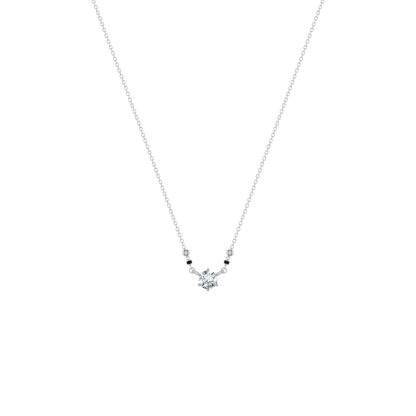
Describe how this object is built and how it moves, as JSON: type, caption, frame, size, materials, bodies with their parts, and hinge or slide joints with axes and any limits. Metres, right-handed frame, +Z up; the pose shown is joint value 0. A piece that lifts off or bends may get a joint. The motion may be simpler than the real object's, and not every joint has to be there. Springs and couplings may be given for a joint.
{
  "type": "solitaire mangalsutra necklace",
  "caption": "Fine cable-chain mangalsutra with a round brilliant in a pronged setting, held between strands with a black bead and a polished ball each; closes at the nape.",
  "frame": {"origin": "the middle of the nape, where the closed clasp lies and the necklace hangs", "axes": "+Z up, -Y towards the front of the wearer, where the stone faces, +X to the right of someone who looks at the front"},
  "size_m": [0.095, 0.089, 0.1564],
  "materials": {
    "white_metal": "polished white gold",
    "clear_stone": "brilliant cut, clear and colourless",
    "black_bead": "polished black"
  },
  "bodies": {
    "root": {"stone": "clear_stone", "setting": "white_metal", "jump_ring_left": "white_metal", "jump_ring_right": "white_metal", "lower_link_left": "white_metal", "lower_link_right": "white_metal", "bead_pin_left": "white_metal", "bead_pin_right": "white_metal", "black_bead_left": "black_bead", "black_bead_right": "black_bead", "upper_link_left": "white_metal", "upper_link_right": "white_metal", "ball_bead_left": "white_metal", "ball_bead_right": "white_metal", "chain_left": "white_metal", "chain_right": "white_metal", "end_ring_left": "white_metal", "end_ring_right": "white_metal", "clasp": "white_metal"}
  },
  "joints": []
}
